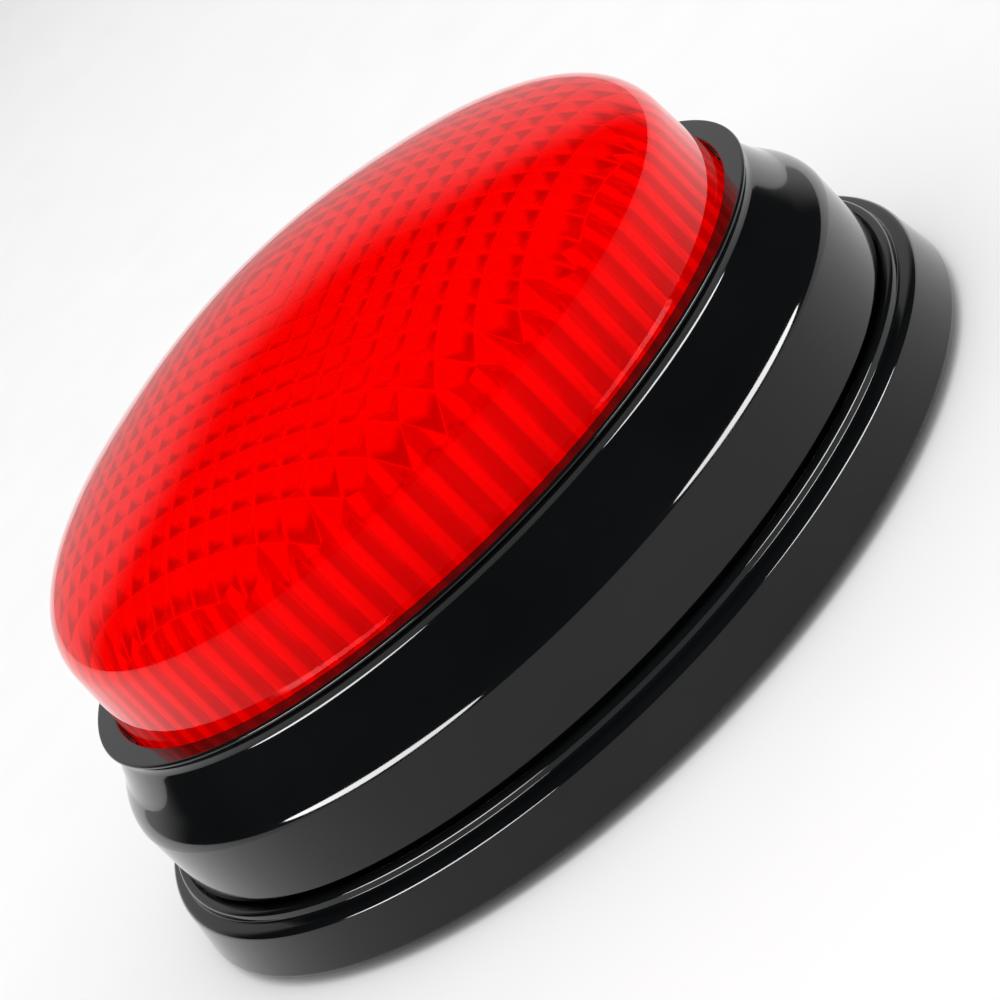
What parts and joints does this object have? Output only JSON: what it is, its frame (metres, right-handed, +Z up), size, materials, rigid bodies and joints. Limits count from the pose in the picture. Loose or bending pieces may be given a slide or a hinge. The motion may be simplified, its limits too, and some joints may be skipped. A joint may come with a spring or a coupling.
{
  "type": "quiz buzzer",
  "caption": "Round tabletop quiz buzzer with a translucent red lens dome pressed as a button on a stepped gloss black housing, holding a sound board, lamps, a loudspeaker and a battery bay.",
  "frame": {"origin": "on the table, at the centre of the round base, level with the undersides of the rubber feet", "axes": "+Z up along the button's axis, +Y towards the loudspeaker, -Y towards the battery bay"},
  "size_m": [0.093, 0.093, 0.0415],
  "materials": {
    "gloss_black_abs": "polished, injection moulded",
    "red_lens": "polished outside, prismatic inside, translucent",
    "frosted_acrylic": "frosted translucent",
    "white_abs": "satin",
    "foot_rubber": "matte",
    "gasket_foam": "closed-cell foam",
    "plated_steel": "nickel plated",
    "speaker_steel": "zinc plated",
    "speaker_paper": "pressed paper",
    "board_green": "solder mask",
    "clear_led": "clear epoxy",
    "black_component": "moulded epoxy",
    "resistor_ceramic": "lacquered",
    "cell_jacket": "printed foil sleeve, plain",
    "red_insulation": "PVC",
    "black_insulation": "PVC"
  },
  "bodies": {
    "housing": {"base_shell": "gloss_black_abs", "battery_cell_1": "cell_jacket", "battery_cell_2": "cell_jacket", "battery_spring_1": "plated_steel", "battery_spring_2": "plated_steel", "battery_wire_black": "black_insulation", "battery_wire_red": "red_insulation", "board_screw_1": "plated_steel", "board_screw_2": "plated_steel", "board_screw_3": "plated_steel", "capacitor": "black_component", "circuit_board": "board_green", "collar_ring": "gloss_black_abs", "contact_bridge": "plated_steel", "contact_negative": "plated_steel", "contact_positive": "plated_steel", "housing_screw_1": "plated_steel", "housing_screw_2": "plated_steel", "housing_screw_3": "plated_steel", "housing_screw_4": "plated_steel", "led_1": "clear_led", "led_2": "clear_led", "led_3": "clear_led", "led_4": "clear_led", "resistor_1": "resistor_ceramic", "resistor_2": "resistor_ceramic", "resistor_3": "resistor_ceramic", "return_spring_1": "plated_steel", "return_spring_2": "plated_steel", "return_spring_3": "plated_steel", "rubber_foot_1": "foot_rubber", "rubber_foot_2": "foot_rubber", "rubber_foot_3": "foot_rubber", "rubber_foot_4": "foot_rubber", "slide_switch_body": "black_component", "sound_chip": "black_component", "speaker_cone": "speaker_paper", "speaker_frame": "speaker_steel", "speaker_gasket": "gasket_foam", "speaker_magnet": "speaker_steel", "speaker_wire_black": "black_insulation", "speaker_wire_red": "red_insulation", "switch_wire_black": "black_insulation", "switch_wire_red": "red_insulation", "tact_switch_body": "black_component", "transistor": "black_component", "upper_housing": "gloss_black_abs"},
    "button": {"dome_cap": "red_lens", "light_diffuser": "frosted_acrylic", "press_plate": "white_abs"},
    "switch_stem": {"tact_switch_stem": "white_abs"},
    "power_knob": {"slide_switch_knob": "white_abs"},
    "battery_door": {"battery_door": "gloss_black_abs", "door_screw": "plated_steel"}
  },
  "joints": [
    {"name": "dome_press", "type": "slide", "parent": "housing", "child": "button", "axis": [0, 0, -1], "range_m": [0, 0.0025], "stiffness_N_per_m": 1000, "springref_m": -0.0035, "deforming": ["return_spring_1", "return_spring_2", "return_spring_3"]},
    {"name": "switch_stem_press", "type": "slide", "parent": "housing", "child": "switch_stem", "axis": [0, 0, -1], "range_m": [0, 0.0003]},
    {"name": "power_switch_slide", "type": "slide", "parent": "housing", "child": "power_knob", "axis": [0, 1, 0], "range_m": [0, 0.003]},
    {"name": "battery_door_tilt", "type": "hinge", "parent": "housing", "child": "battery_door", "pos_m": [0, -0.0047, 0.0019], "axis": [1, 0, 0], "range_deg": [0, 25]}
  ],
  "couplings": [
    {"joint": "switch_stem_press", "follows": "dome_press", "ratio": 0.1}
  ]
}
